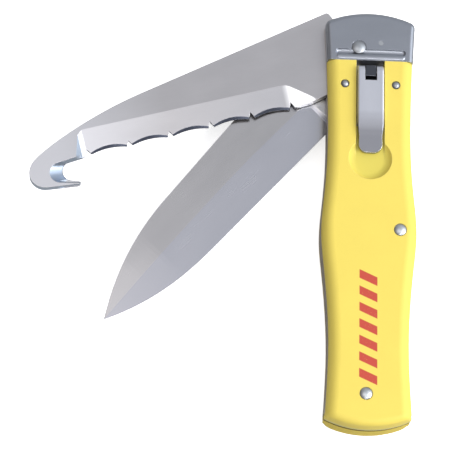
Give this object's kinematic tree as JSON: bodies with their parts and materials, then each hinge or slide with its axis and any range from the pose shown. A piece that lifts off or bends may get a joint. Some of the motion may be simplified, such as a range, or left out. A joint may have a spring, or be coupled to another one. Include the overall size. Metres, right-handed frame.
{
  "type": "rigging knife",
  "caption": "Folding rigging and rescue knife with a plain blade and a hooked serrated blade on one pivot, a yellow handle and a lever-lifted lock pin.",
  "frame": {"origin": "on the blade pivot's axis, in the plane of the rear covers' flat faces", "axes": "+Z out of the front (lever) side, +Y from the butt to the bolster, +X to the handle's back, away from the opened blades"},
  "size_m": [0.1136, 0.1277, 0.0177],
  "materials": {
    "handle_plastic": "moulded yellow plastic, satin",
    "blade_steel": "satin ground stainless steel",
    "liner_steel": "plain rolled sheet",
    "spring_steel": "ground spring steel",
    "bolster_steel": "bead-blasted satin",
    "lever_steel": "formed sheet steel, satin",
    "rivet_steel": "polished heads"
  },
  "bodies": {
    "handle": {"front_liner": "liner_steel", "rear_liner": "liner_steel", "centre_divider": "liner_steel", "rescue_backspring": "spring_steel", "drive_spring": "spring_steel", "front_bolster": "bolster_steel", "rear_bolster": "bolster_steel", "front_scale": "handle_plastic", "rear_scale": "handle_plastic", "pivot_pin": "rivet_steel", "spine_rivet": "rivet_steel", "butt_rivet": "rivet_steel", "scale_pins": "rivet_steel", "bolster_pins": "rivet_steel", "lock_spring_rivets": "rivet_steel"},
    "main_blade": {"main_blade": "blade_steel"},
    "rescue_blade": {"rescue_blade": "blade_steel"},
    "lock_spring": {"lock_spring": "spring_steel", "lock_pin": "lever_steel", "lever_pin": "rivet_steel"},
    "release_lever": {"release_lever": "lever_steel"}
  },
  "joints": [
    {"name": "main_blade_pivot", "type": "hinge", "parent": "handle", "child": "main_blade", "pos_m": [0, 0, 0.0063], "axis": [0, 0, 1], "range_deg": [-140.3, 39.7]},
    {"name": "rescue_blade_pivot", "type": "hinge", "parent": "handle", "child": "rescue_blade", "pos_m": [0, 0, 0.0093], "axis": [0, 0, 1], "range_deg": [-115.5, 64.5]},
    {"name": "lock_spring_flex", "type": "hinge", "parent": "handle", "child": "lock_spring", "pos_m": [0.00355, -0.0326, 0.01165], "axis": [1, 0, 0], "range_deg": [0, 2.75]},
    {"name": "lever_pivot", "type": "hinge", "parent": "lock_spring", "child": "release_lever", "pos_m": [0.00355, -0.0079, 0.0151], "axis": [-1, 0, 0], "range_deg": [0, 100]}
  ],
  "couplings": [
    {"joint": "lock_spring_flex", "follows": "lever_pivot", "ratio": 0.0275}
  ]
}
